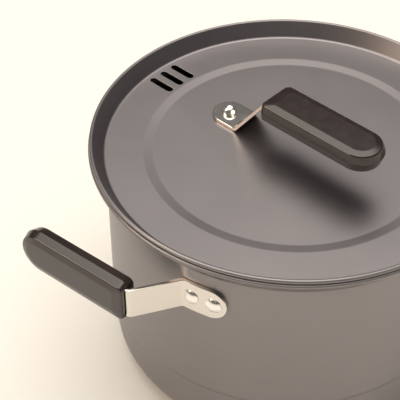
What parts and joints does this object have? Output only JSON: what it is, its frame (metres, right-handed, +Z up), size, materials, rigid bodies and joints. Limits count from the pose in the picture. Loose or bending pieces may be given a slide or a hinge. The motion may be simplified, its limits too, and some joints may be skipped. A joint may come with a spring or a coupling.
{
  "type": "cooking pot with lid",
  "caption": "Round stovetop cooking pot with a sunken, vented lift-off lid; moulded grips on bent steel straps at the sides and on the lid.",
  "frame": {"origin": "centre of the pot's base, on the surface it stands on", "axes": "+Z up along the pot's axis; the two side handles are riveted on at -X and +X"},
  "size_m": [0.2488, 0.22, 0.1692],
  "materials": {
    "anodised_aluminium": "hard anodised, satin grey",
    "polished_steel": "polished strap steel",
    "phenolic": "glossy compression-moulded phenolic, brown-black",
    "rivet_aluminium": "bright"
  },
  "bodies": {
    "pot": {"pot_body": "anodised_aluminium", "left_bracket": "polished_steel", "left_grip": "phenolic", "left_rivet_rear": "rivet_aluminium", "left_rivet_front": "rivet_aluminium", "right_bracket": "polished_steel", "right_grip": "phenolic", "right_rivet_rear": "rivet_aluminium", "right_rivet_front": "rivet_aluminium"},
    "lid": {"lid_shell": "anodised_aluminium", "lid_bracket": "polished_steel", "lid_grip": "phenolic", "lid_rivet": "rivet_aluminium"}
  },
  "joints": [
    {"name": "lid_lift", "type": "slide", "parent": "pot", "child": "lid", "axis": [0, 0, 1], "range_m": [0, 0.12]}
  ]
}
